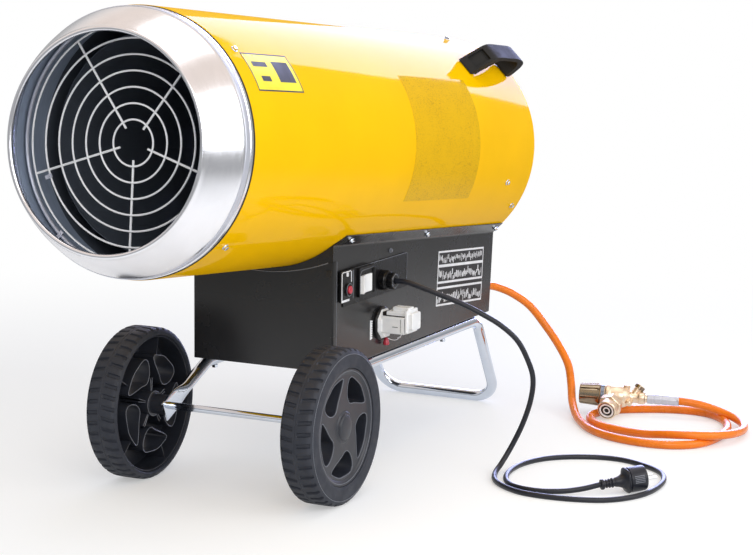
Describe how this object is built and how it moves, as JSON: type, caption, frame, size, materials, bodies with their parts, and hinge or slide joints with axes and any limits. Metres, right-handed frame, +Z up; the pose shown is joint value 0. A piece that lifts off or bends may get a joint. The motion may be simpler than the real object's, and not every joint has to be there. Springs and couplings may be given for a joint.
{
  "type": "gas space heater",
  "caption": "Cylindrical gas-fired air heater on a wheeled tube frame, with an outlet cone and grille, a control housing, a mains lead, and a gas hose with its regulator.",
  "frame": {"origin": "on the floor under the middle of the heater, without its cable and hose", "axes": "+X towards the side with the controls, -Y the way the hot air leaves, +Z up"},
  "size_m": [0.8301, 1.2758, 0.7843],
  "materials": {
    "yellow_paint": "gloss yellow powder coat",
    "black_paint": "satin black powder coat",
    "bright_sheet": "bright rolled steel sheet",
    "inner_sheet": "heat-dulled steel sheet",
    "dull_wire": "plain steel wire",
    "fan_metal": "as cast",
    "chromed_tube": "bright plated tube",
    "tyre": "moulded rubber",
    "black_plastic": "moulded black plastic",
    "white_plastic": "white moulded plastic",
    "red_plastic": "clear red plastic",
    "ceramic": "glazed ceramic",
    "brass": "machined brass",
    "cable": "black rubber sheath",
    "orange_hose": "orange rubber gas hose"
  },
  "bodies": {
    "heater": {"drum_casing": "yellow_paint", "outlet_cone": "bright_sheet", "outlet_grille": "dull_wire", "rear_guard": "dull_wire", "combustion_chamber": "inner_sheet", "burner_plate": "inner_sheet", "gas_jet": "brass", "ignition_electrode": "ceramic", "gas_pipe": "brass", "fan_motor": "black_paint", "motor_mount": "black_paint", "housing_tray": "black_paint", "housing_front": "black_paint", "front_saddle": "black_paint", "housing_rear": "black_paint", "gas_inlet_fitting": "bright_sheet", "gas_valve": "brass", "ignition_transformer": "black_plastic", "handle_right": "black_plastic", "handle_left": "black_plastic", "frame_tube": "chromed_tube", "frame_bolt_1": "chromed_tube", "frame_bolt_2": "chromed_tube", "frame_bolt_3": "chromed_tube", "frame_bolt_4": "chromed_tube", "axle": "chromed_tube", "axle_washer_right": "chromed_tube", "axle_washer_left": "chromed_tube", "control_plate": "black_plastic", "reset_housing": "black_plastic", "rocker_bezel": "black_plastic", "gland_body": "black_plastic", "gland_nut": "black_plastic", "socket_flange": "black_plastic", "bridge_plug": "white_plastic", "mains_cable": "cable", "plug_strain_relief": "cable", "mains_plug": "cable", "gas_hose": "orange_hose", "hose_ferrule": "bright_sheet", "regulator_body": "brass"},
    "wheel_right": {"wheel_rim_right": "black_plastic", "tyre_right": "tyre", "hub_cap_right": "black_plastic"},
    "wheel_left": {"wheel_rim_left": "black_plastic", "tyre_left": "tyre", "hub_cap_left": "black_plastic"},
    "fan": {"fan_impeller": "fan_metal"},
    "reset": {"reset_button": "red_plastic"},
    "rocker": {"rocker_switch": "white_plastic"},
    "knob": {"regulator_knob": "brass"},
    "swivel_nut": {"cylinder_nut": "brass"}
  },
  "joints": [
    {"name": "wheel_right_spin", "type": "hinge", "parent": "heater", "child": "wheel_right", "pos_m": [0.1768, -0.2074, 0.125], "axis": [1, 0, 0], "continuous": true},
    {"name": "wheel_left_spin", "type": "hinge", "parent": "heater", "child": "wheel_left", "pos_m": [-0.1768, -0.2074, 0.125], "axis": [1, 0, 0], "continuous": true},
    {"name": "fan_spin", "type": "hinge", "parent": "heater", "child": "fan", "pos_m": [0, 0.45053, 0.50205], "axis": [0, 0.9962, -0.0872], "continuous": true},
    {"name": "reset_press", "type": "slide", "parent": "heater", "child": "reset", "axis": [-1, 0, 0], "range_m": [0, 0.003], "stiffness_N_per_m": 300, "springref_m": -0.001},
    {"name": "rocker_tilt", "type": "hinge", "parent": "heater", "child": "rocker", "pos_m": [0.13455, -0.0165, 0.304], "axis": [0, 0, 1], "range_deg": [-16, 0]},
    {"name": "knob_turn", "type": "hinge", "parent": "heater", "child": "knob", "pos_m": [0.31, 0.588, 0.038], "axis": [0.9733, 0.2283, -0.024], "range_deg": [0, 330]},
    {"name": "nut_spin", "type": "hinge", "parent": "heater", "child": "swivel_nut", "pos_m": [0.36, 0.542, 0.02], "axis": [0.0063, -0.9601, -0.2794], "continuous": true}
  ]
}
